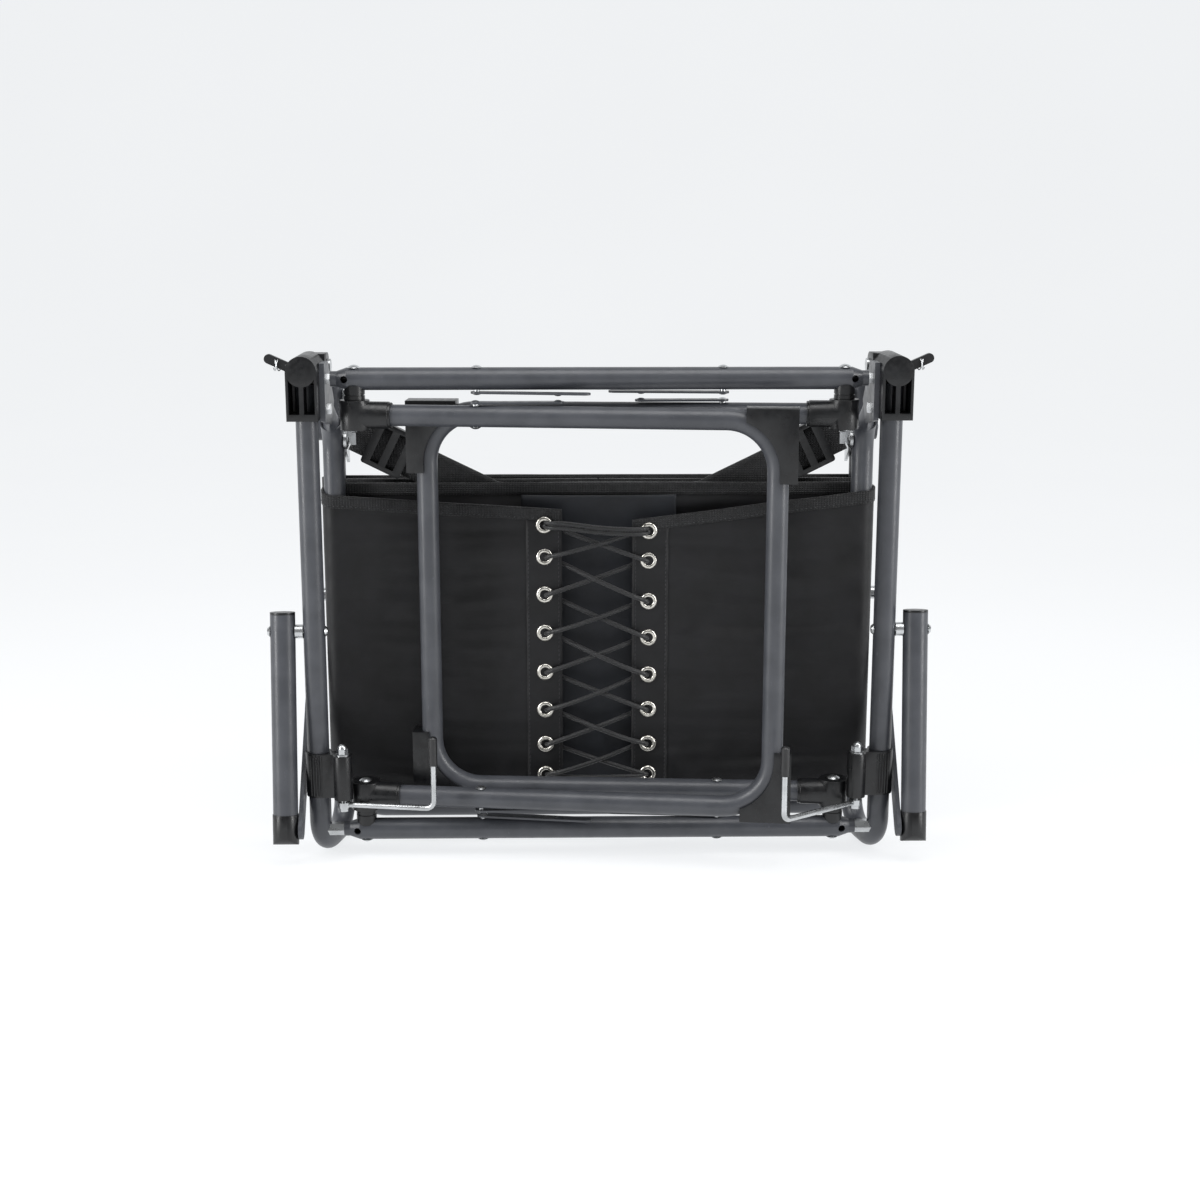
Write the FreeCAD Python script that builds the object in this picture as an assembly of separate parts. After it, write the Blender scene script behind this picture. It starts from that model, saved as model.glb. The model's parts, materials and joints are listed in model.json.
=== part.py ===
import FreeCAD, Part
import math
import os

# Folding cot, folded flat and stood on the bends of its side tubes. Millimetres.
# +X right, +Y from the leg side to the back, +Z up. While it is built, y = 0 is the plane of
# the front side tubes; at the end everything is shifted so that the origin is under the middle.

Vec = FreeCAD.Vector

# ---- driving dimensions -------------------------------------------------------------------
tubeDia = 22.0            # side tubes and cross tubes
tubeWall = 1.5
frameHalf = 286.0         # middle plane to a front side tube
railInset = 16.0          # the fabric rail stands this much further in
railDepth = 70.0          # front side tube to fabric rail
sideBend = 28.0           # bottom bends of the side tube
frontTubeTop = 484.0      # end of the side tube inside its bracket
railTop = 425.0           # where the rail starts to lean forward
leanRun = 50.0            # forward run of the lean, at 45 degrees
tongueThick = 5.0         # flattened end of the rail
bracketTop = 513.0
bracketWidth = 30.0
bracketBottom = 451.0
bracketFront = 32.0       # front face ahead of the tube axis
bracketBack = 34.0
crossTopZ = 489.0
crossBottomZ = 29.0
crossEndDia = 15.0        # necked ends of the cross tubes
drainHoleDia = 7.0
pivotHalf = 239.0         # middle plane to a leg's upright pivot axis
pivotBoltDia = 8.0
pivotFit = 0.06           # radial running clearance of every pivot
legTubeDia = 21.0
legReach = 412.0          # pivot axis to the middle of the leg's foot bar
legTopZ = 454.0
legBottomZ = 66.0
legBend = 50.0
footReach = 431.0         # pivot axis to the ground face of the foot shoes
shoeLip = 1.2             # shoe beyond the tube, along the pivots
shoeLength = 60.0
shoeCover = 31.0          # leg's middle line to the inner edge of a shoe
shoeHalf = 13.0
leftLegTilt = 7.0         # how far each folded leg stands out of the frame's plane, degrees
rightLegTilt = -4.0
fittingHalf = 14.5        # half height and radius of a leg's pivot fitting
braceAnchor = 119.0       # pivot axis to a brace's anchor, on the frame and on the leg
braceLink = 80.0
braceWidth = 12.0
braceThick = 2.0
braceTab = 26.0
braceGap = 1.5            # link to the tube above or below it
clampBottom = 66.0        # ribbed clamp that holds the wire hook
clampTop = 112.0
clampWall = 2.0
bossOffset = 26.0         # side tube axis to the hook's bolt, sideways
bossForward = 15.0        # and forwards
bossDia = 19.0
hookBoltDia = 6.0
wireDia = 5.6
hookDrop = 6.0            # wire axis below the clamp
leftHookTip = (167.0, -38.0)
rightHookTip = (177.0, -99.0)
leftHookCorner = 63.0
rightHookCorner = 70.0
hookRise = 72.0
sleeveDia = 8.4
sleeveLength = 30.0
slingTop = 374.0
slingBottom = 52.0
rearSlingBottom = 62.0
slingGap = 0.5            # cloth to tube
clothThick = 2.0
laceSlotHalf = 36.0
eyeletX = 52.5
eyeletCount = 8
eyeletTop = 334.0
eyeletBottom = 68.0
eyeletDia = 17.0
eyeletBore = 9.5
laceDia = 4.6
strapY = 97.0
strapWidth = 38.0
strapThick = 2.0
strapEndInset = 20.0      # fabric rail to the end of the strap
strapEndZ = 424.0
strapLow = (109.0, 354.0)
buckleLength = 44.0
buckleAt = 0.24           # share of the sloping strap from its outer end
hingeY = 52.0             # axis that the rear half folds about
hingeZ = 497.0
hingePinDia = 8.0
lugRadius = 13.5
bracketLugThick = 15.0
armThick = 5.0
armGap = 1.0
rearY = 124.0
rearTop = 470.0
rearBend = 45.0
rearTubeWall = 2.0
strutDia = 25.0
strutOffset = 31.5        # front side tube axis to the strut's axis
strutPivotZ = 237.0
strutTop = 254.0
knuckleY = -28.0
knuckleZ = 38.0
linkBarThick = 4.0
linkBarWidth = 20.0
linkBarGap = 3.0
rearAnchorZ = 248.0
rivetDia = 6.0
lockPinDia = 8.0
lockPinZ = 500.0
lockPinDeep = 13.0

# ---- derived values -----------------------------------------------------------------------
tubeR = tubeDia / 2
railHalf = frameHalf - railInset
strapEnd = (railHalf - strapEndInset, strapEndZ)
bracketInner = frameHalf - bracketWidth / 2
rearHalf = bracketInner + bracketLugThick + armGap - tubeR
bracketOuter = frameHalf + bracketWidth / 2
fabricR = tubeR + slingGap
strutX = frameHalf + strutOffset
strutR = strutDia / 2
linkBarX = frameHalf + tubeR + linkBarGap
bossX = frameHalf - bossOffset
hookZ = clampBottom - hookDrop

nodes = {}


def cylinder(start, direction, radius, length):
    return Part.makeCylinder(radius, length, start, direction)


def cylX(x0, x1, y, z, radius):
    return cylinder(Vec(x0, y, z), Vec(1, 0, 0), radius, x1 - x0)


def cylY(x, y0, y1, z, radius):
    return cylinder(Vec(x, y0, z), Vec(0, 1, 0), radius, y1 - y0)


def cylZ(x, y, z0, z1, radius):
    return cylinder(Vec(x, y, z0), Vec(0, 0, 1), radius, z1 - z0)


def block(x0, x1, y0, y1, z0, z1):
    return Part.makeBox(x1 - x0, y1 - y0, z1 - z0, Vec(x0, y0, z0))


def fuse(*shapes):
    joined = shapes[0].fuse(list(shapes[1:]))
    return joined.removeSplitter()


def mirrored(shape):
    return shape.mirror(Vec(0, 0, 0), Vec(1, 0, 0))


def onSide(shape, side):
    # pieces are drawn on the right; the left one is the mirror image
    return shape if side == "right" else mirrored(shape)


def roundedWire(points, radii):
    # straight runs joined by tangent arcs
    edges = []
    start = points[0]
    for i in range(1, len(points) - 1):
        corner = points[i]
        back = (points[i - 1] - corner).normalize()
        ahead = (points[i + 1] - corner).normalize()
        half = back.getAngle(ahead) / 2
        reach = radii[i - 1] / math.tan(half)
        entry = corner + back * reach
        leave = corner + ahead * reach
        middle = corner + (back + ahead).normalize() * (radii[i - 1] / math.sin(half) - radii[i - 1])
        if (entry - start).Length > 1e-4:
            edges.append(Part.LineSegment(start, entry).toShape())
        edges.append(Part.Arc(entry, middle, leave).toShape())
        start = leave
    edges.append(Part.LineSegment(start, points[-1]).toShape())
    return Part.Wire(edges)


def sweptRod(wire, radius):
    first = wire.Edges[0]
    origin = first.valueAt(first.FirstParameter)
    ring = Part.Wire(Part.Circle(origin, first.tangentAt(first.FirstParameter), radius).toShape())
    rod = wire.makePipeShell([ring], True, False)
    expected = math.pi * radius ** 2 * wire.Length
    if abs(rod.Volume - expected) > expected * 0.01:
        print("rod volume is off:", rod.Volume, expected)
    return rod


def sweptTube(points, radii, dia, wall):
    wire = roundedWire(points, radii)
    return sweptRod(wire, dia / 2).cut(sweptRod(wire, dia / 2 - wall))


def plateYZ(outline, x0, x1):
    points = [Vec(x0, y, z) for y, z in outline]
    face = Part.Face(Part.makePolygon(points + points[:1]))
    return face.extrude(Vec(x1 - x0, 0, 0))


def slotBar(y0, z0, y1, z1, radius, x0, x1):
    # flat bar with round ends between two pivots, lying in a YZ plane
    run = Vec(0, y1 - y0, z1 - z0)
    sideways = Vec(0, -run.z, run.y).normalize() * radius
    corners = [Vec(x0, y0, z0) + sideways, Vec(x0, y1, z1) + sideways,
               Vec(x0, y1, z1) - sideways, Vec(x0, y0, z0) - sideways]
    web = Part.Face(Part.makePolygon(corners + corners[:1])).extrude(Vec(x1 - x0, 0, 0))
    return fuse(web, cylX(x0, x1, y0, z0, radius), cylX(x0, x1, y1, z1, radius))


def hexPrismX(x0, x1, y, z, flats):
    radius = flats / math.sqrt(3)
    outline = [(y + radius * math.cos(a), z + radius * math.sin(a))
               for a in [math.radians(60 * i) for i in range(6)]]
    return plateYZ(outline, x0, x1)


def hexPrismZ(x, y, z0, z1, flats):
    radius = flats / math.sqrt(3)
    points = [Vec(x + radius * math.cos(a), y + radius * math.sin(a), z0)
              for a in [math.radians(60 * i) for i in range(6)]]
    return Part.Face(Part.makePolygon(points + points[:1])).extrude(Vec(0, 0, z1 - z0))


def roundHead(place, direction, radius, height):
    # domed rivet head: a ball trimmed to the height of the head
    ball = (radius ** 2 + height ** 2) / (2 * height)
    dome = Part.makeSphere(ball, place + direction * (height - ball))
    return dome.common(cylinder(place, direction, radius, height))


# ---- front half: side tubes, brackets, cross tubes ------------------------------------------
boltPlaces = [(0.0, crossTopZ), (0.0, 460.0)]      # bracket bolts, as (y, z)
boltDia = 6.0


def sideTube():
    low = tubeR
    leanTop = Vec(railHalf, railDepth - leanRun, railTop + leanRun)
    points = [Vec(frameHalf, 0, frontTubeTop), Vec(frameHalf, 0, low),
              Vec(railHalf, railDepth, low), Vec(railHalf, railDepth, railTop), leanTop]
    bend = sideBend
    flatAt = leanRun * 0.3          # the round tube ends here, measured along Y
    leanEnd = Vec(railHalf, railDepth - flatAt, railTop + flatAt)
    tube = sweptTube(points[:4] + [leanEnd], [bend, bend, 38.0], tubeDia, tubeWall)
    lean = (leanTop - Vec(railHalf, railDepth, railTop)).normalize()
    across = Vec(0, lean.z, -lean.y)
    tongueX = bracketInner - tongueThick / 2
    flatEnd = leanEnd + lean * 16.0
    flatEnd.x = tongueX
    halfWide = 15.0
    plugAt = leanEnd - lean * 5.0    # the crushed neck starts inside the round tube's wall
    plugR = tubeR - tubeWall / 2
    roundRing = Part.Wire(Part.Ellipse(plugAt + across * plugR, plugAt + Vec(plugR - 0.2, 0, 0),
                                       plugAt).toShape())
    flatRing = Part.Wire(Part.Ellipse(flatEnd + across * halfWide,
                                      flatEnd + Vec(tongueThick / 2, 0, 0), flatEnd).toShape())
    neck = Part.makeLoft([roundRing, flatRing], True, True)
    edgeHigh = flatEnd + across * halfWide
    edgeLow = flatEnd - across * halfWide
    outline = [(-13.0, 449.0), (edgeLow.y, edgeLow.z), (edgeHigh.y, edgeHigh.z),
               (20.0, 502.0), (16.0, 505.0), (-13.0, 505.0)]
    tongue = plateYZ(outline, bracketInner - tongueThick, bracketInner)
    body = fuse(tube, neck, tongue)
    for y, z in boltPlaces:
        body = body.cut(cylX(bracketInner - 20, bracketOuter, y, z, boltDia / 2))
    return body


def hingeBracket():
    radius = bracketWidth / 2
    roundZ = bracketTop - radius
    shell = fuse(block(bracketInner, bracketOuter, -bracketFront, bracketBack, bracketBottom, roundZ),
                 cylY(frameHalf, -bracketFront, bracketBack, roundZ, radius))
    disc = cylY(frameHalf, -bracketFront, bracketBack, roundZ, radius - 0.8)
    for x0, x1 in ((frameHalf - 12.5, frameHalf - 2.2), (frameHalf + 2.2, frameHalf + 12.5)):
        window = block(x0, x1, -bracketFront, -4.0, bracketBottom + 6.5, roundZ)
        shell = shell.cut(window.cut(disc))
    lug = fuse(cylX(bracketInner, bracketInner + bracketLugThick, hingeY, hingeZ, lugRadius),
               block(bracketInner, bracketInner + bracketLugThick, bracketBack - 4, hingeY,
                     hingeZ - lugRadius, hingeZ + lugRadius))
    shell = fuse(shell, lug)
    shell = shell.cut(cylZ(frameHalf, 0, bracketBottom - 1, frontTubeTop, tubeR))
    shell = shell.cut(cylX(bracketInner - 1, bracketInner + 40, hingeY, hingeZ, hingePinDia / 2))
    shell = shell.cut(cylX(bracketOuter - lockPinDeep, bracketOuter + 1, 0, lockPinZ,
                           lockPinDia / 2 + pivotFit))
    for y, z in boltPlaces:
        shell = shell.cut(cylX(bracketInner - 1, bracketOuter - lockPinDeep - 2, y, z, boltDia / 2))
    return shell


def bracketBolts():
    # hex bolts from the inside; the upper one also carries the end of the cross tube
    solids = []
    for y, z in boltPlaces:
        inner = bracketInner - tongueThick
        shank = cylX(inner, bracketOuter - lockPinDeep - 2, y, z, boltDia / 2)
        solids.append(fuse(shank, hexPrismX(inner - 4.0, inner, y, z, 10.0)))
    return solids


def crossTube(z):
    end = bracketInner - tongueThick - 4.2
    neckStart = end - 16.0
    round_ = cylX(-neckStart, neckStart, 0, z, tubeR)
    bore = cylX(-end, end, 0, z, crossEndDia / 2 - tubeWall).fuse(
        cylX(-neckStart, neckStart, 0, z, tubeR - tubeWall))
    cone = Part.makeCone(tubeR, crossEndDia / 2, 10.0, Vec(neckStart, 0, z), Vec(1, 0, 0))
    tip = cylX(neckStart + 10.0, end, 0, z, crossEndDia / 2)
    right = fuse(cone, tip)
    body = fuse(round_, right, mirrored(right)).cut(bore)
    for side in (-1, 1):
        x = side * (neckStart + 2.0)
        body = body.cut(cylY(x, -tubeDia, 0, z, drainHoleDia / 2))
        body = body.cut(cylZ(side * pivotHalf, 0, z - tubeDia, z + tubeDia, pivotBoltDia / 2))
        anchor = side * (pivotHalf - braceAnchor)
        body = body.cut(cylZ(anchor, 0, z - tubeDia, z + tubeDia, rivetDia / 2))
    return body


def lowerBolt():
    # collar bolt between the lower cross tube and the bend of the side tube
    end = bracketInner - tongueThick - 4.2
    side = nodes["side_tube_right"]
    collar = hexPrismX(end, frameHalf - 6.0, 0, crossBottomZ, 12.0)
    return collar.cut(side).Solids[0]


for side in ("left", "right"):
    nodes["side_tube_" + side] = onSide(sideTube(), side)
    nodes["hinge_bracket_" + side] = onSide(hingeBracket(), side)

nodes["cross_tube_top"] = crossTube(crossTopZ)
nodes["cross_tube_bottom"] = crossTube(crossBottomZ)
boltSolids = bracketBolts() + [lowerBolt()]
nodes["frame_bolts"] = Part.makeCompound(boltSolids + [mirrored(s) for s in boltSolids])


def hingePin():
    x0 = bracketInner - 0.2
    x1 = bracketInner + bracketLugThick + armGap + armThick + 1.0
    shank = cylX(x0, x1, hingeY, hingeZ, hingePinDia / 2)
    return fuse(shank, cylX(x1, x1 + 3.0, hingeY, hingeZ, 7.0), cylX(x0 - 3.0, x0, hingeY, hingeZ, 7.0))


nodes["hinge_pins"] = Part.makeCompound([hingePin(), mirrored(hingePin())])


# ---- leg pivots -----------------------------------------------------------------------------
def levelValues(level):
    # cross tube height, leg bar height and the way from the cross tube to the bar
    if level == "top":
        return crossTopZ, legTopZ, -1.0
    return crossBottomZ, legBottomZ, 1.0


def pivotSpacer(level):
    crossZ, barZ, way = levelValues(level)
    near = crossZ + way * (tubeR - 5.0)
    far = barZ - way * (fittingHalf + 0.3)
    spacer = cylZ(pivotHalf, 0, min(near, far), max(near, far), 10.2)
    spacer = spacer.cut(cylX(pivotHalf - 30, pivotHalf + 24, 0, crossZ, tubeR))
    grooveZ = (crossZ + way * tubeR + far) / 2
    groove = cylZ(pivotHalf, 0, grooveZ - 0.6, grooveZ + 0.6, 12.0)
    groove = groove.cut(cylZ(pivotHalf, 0, grooveZ - 1, grooveZ + 1, 9.2))
    spacer = spacer.cut(groove)
    return spacer.cut(cylZ(pivotHalf, 0, 0, crossTopZ + 20, pivotBoltDia / 2))


def pivotBolt(level):
    crossZ, barZ, way = levelValues(level)
    outer = crossZ - way * tubeR
    tip = barZ + way * (fittingHalf + 0.3)
    shank = cylZ(pivotHalf, 0, min(outer, tip), max(outer, tip), pivotBoltDia / 2)
    head = roundHead(Vec(pivotHalf, 0, outer - way * -0.3), Vec(0, 0, -way), 6.5, 3.0)
    foot = roundHead(Vec(pivotHalf, 0, tip), Vec(0, 0, way), 6.5, 3.0)
    return fuse(shank, head, foot)


spacers = [pivotSpacer("top"), pivotSpacer("bottom")]
nodes["pivot_spacers"] = Part.makeCompound(spacers + [mirrored(s) for s in spacers])
pivotBolts = [pivotBolt("top"), pivotBolt("bottom")]
pivotBolts = [b.cut(nodes["cross_tube_top"]).cut(nodes["cross_tube_bottom"]) for b in pivotBolts]
nodes["pivot_bolts"] = Part.makeCompound(pivotBolts + [mirrored(b) for b in pivotBolts])


# ---- legs: drawn with the pivot at the origin and the foot towards -X --------------------------
def legTube():
    inner = 14.0
    points = [Vec(-inner, 0, legTopZ), Vec(-legReach, 0, legTopZ),
              Vec(-legReach, 0, legBottomZ), Vec(-inner, 0, legBottomZ)]
    tube = sweptTube(points, [legBend, legBend], legTubeDia, tubeWall)
    for level in ("top", "bottom"):
        z = levelValues(level)[1]
        tube = tube.cut(cylZ(-braceAnchor, 0, z - legTubeDia, z + legTubeDia, rivetDia / 2))
    return tube


def legFitting(z):
    body = fuse(cylZ(0, 0, z - fittingHalf, z + fittingHalf, fittingHalf),
                cylX(-34.0, 0, 0, z, 13.2),
                cylX(-36.5, -32.0, 0, z, 12.4))
    body = body.cut(cylX(-60.0, -14.0, 0, z, legTubeDia / 2))
    return body.cut(cylZ(0, 0, z - 30, z + 30, pivotBoltDia / 2 + pivotFit))


def footShoe(z, way):
    # moulded shoe round the outside of a leg's corner, with a flat ground face
    outer = z + way * (legTubeDia / 2 + shoeLip)
    inner = z - way * shoeLength
    wrap = block(-footReach, -legReach + shoeCover, -shoeHalf, shoeHalf, min(outer, inner), max(outer, inner))
    bendX = -legReach + legBend
    bendZ = z - way * legBend
    openR = legBend + 2.0            # the shoe stops just outside the bend's middle line
    wrap = wrap.cut(cylY(bendX, -30, 30, bendZ, openR))
    past = inner - way * 5.0
    wrap = wrap.cut(block(bendX - openR, 0, -30, 30, min(bendZ, past), max(bendZ, past)))
    path = [Vec(0, 0, z), Vec(-legReach, 0, z), Vec(-legReach, 0, z - way * 200)]
    hollow = sweptRod(roundedWire(path, [legBend]), legTubeDia / 2)
    return max(wrap.cut(hollow).Solids, key=lambda solid: solid.Volume)


def placeLeg(shape, side):
    tilt = rightLegTilt if side == "right" else leftLegTilt
    turned = shape.copy()
    turned.rotate(Vec(0, 0, 0), Vec(0, 0, 1), tilt)
    turned.translate(Vec(pivotHalf, 0, 0))
    return onSide(turned, side)


def legRivets():
    solids = []
    for level in ("top", "bottom"):
        crossZ, barZ, way = levelValues(level)
        far = barZ + way * legTubeDia / 2
        linkFace = barZ - way * (legTubeDia / 2 + braceGap + braceThick)
        shank = cylZ(-braceAnchor, 0, min(far, linkFace), max(far, linkFace), rivetDia / 2)
        head = roundHead(Vec(-braceAnchor, 0, far), Vec(0, 0, way), 5.5, 2.2)
        cap = roundHead(Vec(-braceAnchor, 0, linkFace), Vec(0, 0, -way), 5.0, 1.6)
        washer = cylZ(-braceAnchor, 0, min(linkFace, linkFace + way * (braceThick + braceGap)) + 0.0,
                      max(linkFace, linkFace + way * (braceThick + braceGap)), rivetDia / 2)
        solids.append(fuse(shank, head, cap, washer))
    return solids


legTubeShape = legTube()
for side in ("left", "right"):
    nodes["leg_tube_" + side] = placeLeg(legTubeShape, side)
    fittings = [legFitting(legTopZ), legFitting(legBottomZ)]
    nodes["leg_fittings_" + side] = placeLeg(Part.makeCompound(fittings), side)
    shoes = [footShoe(legTopZ, 1.0), footShoe(legBottomZ, -1.0)]
    nodes["foot_shoes_" + side] = placeLeg(Part.makeCompound(shoes), side)
    cutRivets = [r.cut(legTubeShape) for r in legRivets()]
    nodes["leg_rivets_" + side] = placeLeg(Part.makeCompound([c.Solids[0] for c in cutRivets]), side)


# ---- folding braces: two flat links between each cross tube and each leg bar --------------------
def braceAngle(tilt):
    # direction of the frame-side link, from the leg's opening angle, degrees below the tube
    half = math.radians(tilt) / 2
    spread = braceAnchor * math.sin(half) / braceLink
    return 90 + tilt / 2 - math.degrees(math.acos(spread))


def braceStrip(z0, withTab, hole):
    # link lying along -X from its anchor at the origin
    half = braceWidth / 2
    reach = braceLink + (braceTab if withTab else 0.0)
    strip = block(-reach, 0, -half, half, z0, z0 + braceThick)
    strip = fuse(strip, cylZ(0, 0, z0, z0 + braceThick, half), cylZ(-reach, 0, z0, z0 + braceThick, half))
    return strip.cut(cylZ(0, 0, z0 - 1, z0 + braceThick + 1, hole))


def braceLinks(side, level):
    crossZ, barZ, way = levelValues(level)
    tilt = rightLegTilt if side == "right" else leftLegTilt
    frameFace = crossZ + way * (tubeR + braceGap)
    legFace = barZ - way * (legTubeDia / 2 + braceGap)
    frameZ = min(frameFace, frameFace + way * braceThick)
    legZ = min(legFace, legFace - way * braceThick)
    hole = rivetDia / 2 + pivotFit
    angle = braceAngle(tilt)
    frameLink = braceStrip(frameZ, True, hole)
    stub = roundHead(Vec(-braceLink, 0, frameFace + way * braceThick), Vec(0, 0, way), 4.5, 1.5)
    frameLink = fuse(frameLink, stub)
    frameLink.rotate(Vec(0, 0, 0), Vec(0, 0, 1), angle)
    frameLink.translate(Vec(pivotHalf - braceAnchor, 0, 0))
    legLink = braceStrip(legZ, False, hole)
    stub = roundHead(Vec(-braceLink, 0, legFace - way * braceThick), Vec(0, 0, -way), 4.5, 1.5)
    legLink = fuse(legLink, stub)
    legLink.rotate(Vec(0, 0, 0), Vec(0, 0, 1), -angle)
    legLink.translate(Vec(-braceAnchor, 0, 0))
    return onSide(frameLink, side), placeLeg(legLink, side)


def frameRivet(level):
    crossZ, barZ, way = levelValues(level)
    x = pivotHalf - braceAnchor
    far = crossZ - way * tubeR
    linkFace = crossZ + way * (tubeR + braceGap + braceThick)
    shank = cylZ(x, 0, min(far, linkFace), max(far, linkFace), rivetDia / 2)
    head = roundHead(Vec(x, 0, far), Vec(0, 0, -way), 5.5, 2.2)
    cap = roundHead(Vec(x, 0, linkFace), Vec(0, 0, way), 5.0, 1.6)
    tube = nodes["cross_tube_" + level]
    return fuse(shank, head, cap).cut(tube).Solids[0]


for side in ("left", "right"):
    for level in ("top", "bottom"):
        frameLink, legLink = braceLinks(side, level)
        nodes["brace_%s_%s_frame" % (side, level)] = frameLink
        nodes["brace_%s_%s_leg" % (side, level)] = legLink
rivets = [frameRivet("top"), frameRivet("bottom")]
nodes["brace_rivets"] = Part.makeCompound(rivets + [mirrored(r) for r in rivets])


# ---- wire hooks and their clamps ------------------------------------------------------------------
def hookClamp():
    outer = tubeR + clampWall
    ring = cylZ(frameHalf, 0, clampBottom, clampTop, outer)
    boss = cylZ(bossX, -bossForward, clampBottom, clampTop, bossDia / 2)
    web = block(bossX, frameHalf, -bossForward + 2, 0, clampBottom, clampTop)
    body = fuse(ring, boss, web)
    for i in range(9):
        turn = math.radians(200 + i * 12.5)
        rib = cylZ(frameHalf + outer * math.cos(turn), outer * math.sin(turn),
                   clampBottom + 2, clampTop - 2, 1.1)
        body = fuse(body, rib)
    body = body.cut(cylZ(frameHalf, 0, clampBottom - 1, clampTop + 1, tubeR))
    return body.cut(cylZ(bossX, -bossForward, clampBottom - 1, clampTop + 1, hookBoltDia / 2))


def hookBolt():
    shank = cylZ(bossX, -bossForward, hookZ - wireDia / 2 - 1.2, clampTop, hookBoltDia / 2)
    washer = cylZ(bossX, -bossForward, clampTop, clampTop + 1.4, 7.0)
    nut = hexPrismZ(bossX, -bossForward, clampTop + 1.4, clampTop + 7.0, 10.0)
    dome = Part.makeSphere(4.4, Vec(bossX, -bossForward, clampTop + 7.0))
    head = cylZ(bossX, -bossForward, hookZ - wireDia / 2 - 3.6, hookZ - wireDia / 2 - 0.4, 5.5)
    return fuse(shank, washer, nut, dome, head)


def hookValues(side):
    if side == "left":
        return leftHookTip, leftHookCorner
    return rightHookTip, rightHookCorner


def hookWire(side):
    tip, cornerZ = hookValues(side)
    eyeR = hookBoltDia / 2 + pivotFit
    pivot = Vec(bossX, -bossForward, hookZ)
    corner = Vec(tip[0], tip[1], cornerZ)
    way = Vec(tip[0] - bossX, tip[1] + bossForward, 0).normalize()
    start = pivot + way * (eyeR + 1.0)
    top = Vec(tip[0], tip[1], cornerZ + hookRise)
    wire = roundedWire([start, corner, top], [9.0])
    rod = sweptRod(wire, wireDia / 2)
    eye = cylZ(pivot.x, pivot.y, hookZ - wireDia / 2, hookZ + wireDia / 2, eyeR + 3.4)
    return fuse(rod, eye).cut(cylZ(pivot.x, pivot.y, 0, clampTop, eyeR))


def hookSleeve(side):
    tip, cornerZ = hookValues(side)
    top = cornerZ + hookRise
    sleeve = fuse(cylZ(tip[0], tip[1], top - sleeveLength + 3, top + 1.0, sleeveDia / 2),
                  roundHead(Vec(tip[0], tip[1], top + 1.0), Vec(0, 0, 1), sleeveDia / 2, 2.2))
    return sleeve.cut(nodes["hook_wire_" + side] if side == "right" else mirrored(nodes["hook_wire_left"]))


for side in ("left", "right"):
    nodes["hook_clamp_" + side] = onSide(hookClamp(), side)
    nodes["hook_wire_" + side] = onSide(hookWire(side), side)
    nodes["hook_sleeve_" + side] = onSide(hookSleeve(side).Solids[0], side)
nodes["hook_bolts"] = Part.makeCompound([hookBolt(), mirrored(hookBolt())])


# ---- front sling -------------------------------------------------------------------------------
def sleeveRing(half, y, z0, z1):
    # cloth wrapped round two tubes, as one closed band
    def stadium(radius):
        mid = block(-half, half, y - radius, y + radius, z0, z1)
        return fuse(mid, cylZ(-half, y, z0, z1, radius), cylZ(half, y, z0, z1, radius))
    inner = fabricR
    return stadium(inner + clothThick).cut(stadium(inner))


def frontSling():
    band = sleeveRing(railHalf, railDepth, slingBottom, slingTop)
    flapFace = railDepth - fabricR
    slot = block(-laceSlotHalf, laceSlotHalf, flapFace - 10, flapFace + 1, slingBottom - 1, slingTop + 1)
    cut = band.cut(slot)
    backFace = railDepth + fabricR
    back = cut.common(block(-railHalf, railHalf, backFace - 1, backFace + 10, 0, 600))
    flaps = cut.cut(block(-railHalf, railHalf, backFace - 1, backFace + 10, 0, 600))
    eyeHoles = [cylY(side * eyeletX, 0, flapFace + 2, z, eyeletBore / 2 + 1.2)
                for side in (-1, 1) for z in eyeletHeights()]
    return back, flaps.cut(Part.makeCompound(eyeHoles))


def eyeletHeights():
    step = (eyeletTop - eyeletBottom) / (eyeletCount - 1)
    return [eyeletTop - i * step for i in range(eyeletCount)]


def eyelets():
    face = railDepth - fabricR - clothThick
    solids = []
    for side in (-1, 1):
        for z in eyeletHeights():
            rim = cylY(side * eyeletX, face - 1.4, face - 0.05, z, eyeletDia / 2)
            barrel = cylY(side * eyeletX, face - 1.0, face + clothThick + 1.0, z, eyeletBore / 2 + 1.1)
            bore = cylY(side * eyeletX, face - 2, face + 10, z, eyeletBore / 2)
            solids.append(fuse(rim, barrel).cut(bore))
    return solids


def laceStrand(startSide, y):
    # zigzag from eyelet to eyelet, one row down at each crossing
    heights = eyeletHeights()
    points = [Vec(startSide * (1 if i % 2 == 0 else -1) * (eyeletX - 2), y, z)
              for i, z in enumerate(heights)]
    wire = roundedWire(points, [4.5] * (len(points) - 2))
    return sweptRod(wire, laceDia / 2)


slingBack, slingFlaps = frontSling()
nodes["sling_panel"] = slingBack
nodes["sling_flaps"] = slingFlaps
nodes["eyelets"] = Part.makeCompound(eyelets())
laceY = railDepth - fabricR - clothThick - 1.4 - laceDia / 2 - 0.2
nodes["lace"] = Part.makeCompound([laceStrand(1, laceY), laceStrand(-1, laceY - laceDia - 0.2)])


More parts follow.
